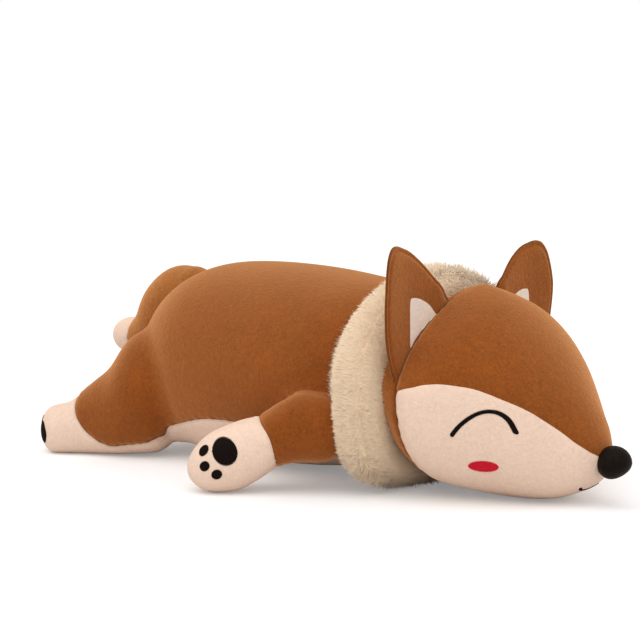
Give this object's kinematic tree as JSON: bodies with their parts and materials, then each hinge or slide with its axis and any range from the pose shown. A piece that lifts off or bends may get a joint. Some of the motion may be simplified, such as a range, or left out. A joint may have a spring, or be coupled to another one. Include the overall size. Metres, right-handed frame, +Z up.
{
  "type": "plush fox",
  "caption": "Stuffed plush fox lying on its belly, with upright ears, a fur neck ruff, splayed legs and a curled tail.",
  "frame": {"origin": "middle of the footprint, on the floor that the fox lies on", "axes": "+X from tail to nose, +Y to the fox's left, +Z up"},
  "size_m": [0.5998, 0.3656, 0.2024],
  "materials": {
    "brown_plush": "short dense nap, matt",
    "face_brown_plush": "short dense nap, matt",
    "tail_brown_plush": "short dense nap, matt",
    "cream_plush": "short dense nap, matt",
    "ear_cream_plush": "short dense nap, matt",
    "ruff_fur": "long loose pile, matt",
    "black_thread": "satin embroidery stitch",
    "black_plush": "short dense nap, matt",
    "blush_thread": "satin embroidery stitch",
    "stuffing_fibre": "loose fibre filling"
  },
  "bodies": {
    "torso": {"back_panel": "brown_plush", "belly_panel": "cream_plush", "body_stuffing": "stuffing_fibre", "hind_leg_stuffing_right": "stuffing_fibre", "hind_foot_right": "cream_plush", "hind_leg_stuffing_left": "stuffing_fibre", "hind_foot_left": "cream_plush", "sole_pad_right": "black_thread", "sole_toe_1_right": "black_thread", "sole_toe_2_right": "black_thread", "sole_toe_3_right": "black_thread", "sole_pad_left": "black_thread", "sole_toe_1_left": "black_thread", "sole_toe_2_left": "black_thread", "sole_toe_3_left": "black_thread", "ruff": "ruff_fur"},
    "head": {"nape_panel": "brown_plush", "forehead_panel": "face_brown_plush", "head_stuffing": "stuffing_fibre", "nose": "black_plush", "cheek_right": "cream_plush", "eye_right": "black_thread", "blush_right": "blush_thread", "cheek_left": "cream_plush", "eye_left": "black_thread", "blush_left": "blush_thread", "mouth": "black_thread"},
    "ear_right": {"ear_front_right": "face_brown_plush", "ear_lining_right": "ear_cream_plush", "ear_back_right": "brown_plush"},
    "ear_left": {"ear_front_left": "face_brown_plush", "ear_lining_left": "ear_cream_plush", "ear_back_left": "brown_plush"},
    "foreleg_right": {"sleeve_right": "brown_plush", "paw_right": "cream_plush", "foreleg_stuffing_right": "stuffing_fibre", "palm_pad_right": "black_thread", "toe_pad_1_right": "black_thread", "toe_pad_2_right": "black_thread", "toe_pad_3_right": "black_thread"},
    "foreleg_left": {"sleeve_left": "brown_plush", "paw_left": "cream_plush", "foreleg_stuffing_left": "stuffing_fibre", "palm_pad_left": "black_thread", "toe_pad_1_left": "black_thread", "toe_pad_2_left": "black_thread", "toe_pad_3_left": "black_thread"},
    "tail": {"tail_brush": "tail_brown_plush", "tail_tip": "cream_plush", "tail_stuffing": "stuffing_fibre"}
  },
  "joints": [
    {"name": "head_nod", "type": "hinge", "parent": "torso", "child": "head", "pos_m": [0.1631, 0, 0.087], "axis": [0, -1, 0], "range_deg": [0, 12], "stiffness_Nm_per_rad": 0.6, "deforming": ["ruff"]},
    {"name": "ear_right_fold", "type": "hinge", "parent": "head", "child": "ear_right", "pos_m": [0.14668, -0.068, 0.13096], "axis": [-0.0201, 0.6953, 0.7184], "range_deg": [0, 20], "stiffness_Nm_per_rad": 0.05},
    {"name": "ear_left_fold", "type": "hinge", "parent": "head", "child": "ear_left", "pos_m": [0.14668, 0.068, 0.13096], "axis": [0.0201, 0.6953, -0.7184], "range_deg": [0, 20], "stiffness_Nm_per_rad": 0.05},
    {"name": "foreleg_right_swing", "type": "hinge", "parent": "torso", "child": "foreleg_right", "pos_m": [0.07111, -0.103, 0.053], "axis": [0, 0, 1], "range_deg": [0, 25], "stiffness_Nm_per_rad": 0.3},
    {"name": "foreleg_left_swing", "type": "hinge", "parent": "torso", "child": "foreleg_left", "pos_m": [0.07111, 0.103, 0.053], "axis": [0, 0, -1], "range_deg": [0, 25], "stiffness_Nm_per_rad": 0.3},
    {"name": "tail_swing", "type": "hinge", "parent": "torso", "child": "tail", "pos_m": [-0.1849, 0, 0.15], "axis": [0, 0, 1], "range_deg": [-20, 20], "stiffness_Nm_per_rad": 0.2}
  ]
}
